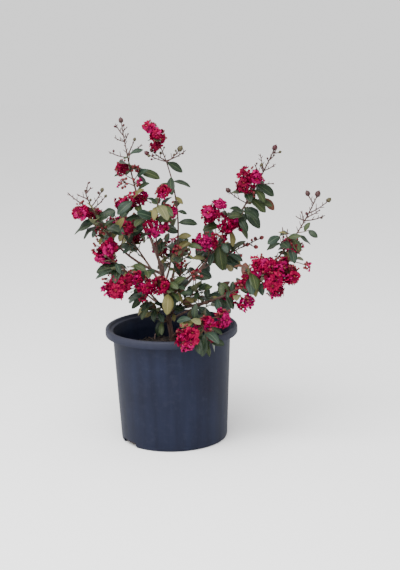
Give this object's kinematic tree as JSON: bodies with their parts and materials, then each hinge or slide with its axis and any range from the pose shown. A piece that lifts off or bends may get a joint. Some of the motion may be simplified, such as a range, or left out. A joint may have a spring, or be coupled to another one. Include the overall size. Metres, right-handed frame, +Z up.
{
  "type": "potted crape myrtle",
  "caption": "Young crape myrtle with pink-red blossom heads, glossy leaves and dry seed heads, in a round dark plastic nursery pot filled with potting mix.",
  "frame": {"origin": "middle of the pot's flat underside", "axes": "+Z up along the pot's axis; -Y is the front, the side that is seen; the longest shoot reaches towards +X"},
  "size_m": [0.5302, 0.3881, 0.6738],
  "materials": {
    "pot": "matte, faintly scuffed",
    "soil": "damp and crumbly",
    "bark": "matt bark",
    "dead_wood": "dry and bleached",
    "growth": "leaves, blossom and twigs"
  },
  "bodies": {
    "root": {"pot": "pot", "soil": "soil", "main_stem": "bark", "dead_twig": "dead_wood", "limb_left_high": "bark", "limb_left_long": "bark", "limb_left_low": "bark", "limb_mid_left": "bark", "limb_leader": "bark", "limb_right_high": "bark", "limb_right_long": "bark", "limb_right_mid": "bark", "limb_front_low": "bark", "limb_back_left": "bark", "limb_back_mid": "bark", "limb_back_right": "bark", "limb_back_low_left": "bark", "limb_back_low_right": "bark", "growth_left_high": "growth", "growth_left_long": "growth", "growth_left_low": "growth", "growth_mid_left": "growth", "growth_leader": "growth", "growth_right_high": "growth", "growth_right_long": "growth", "growth_right_mid": "growth", "growth_front_low": "growth", "growth_back_left": "growth", "growth_back_mid": "growth", "growth_back_right": "growth", "growth_back_low_left": "growth", "growth_back_low_right": "growth", "growth_heart_front": "growth", "growth_heart_left": "growth", "growth_heart_right": "growth", "growth_heart_high": "growth"}
  },
  "joints": []
}
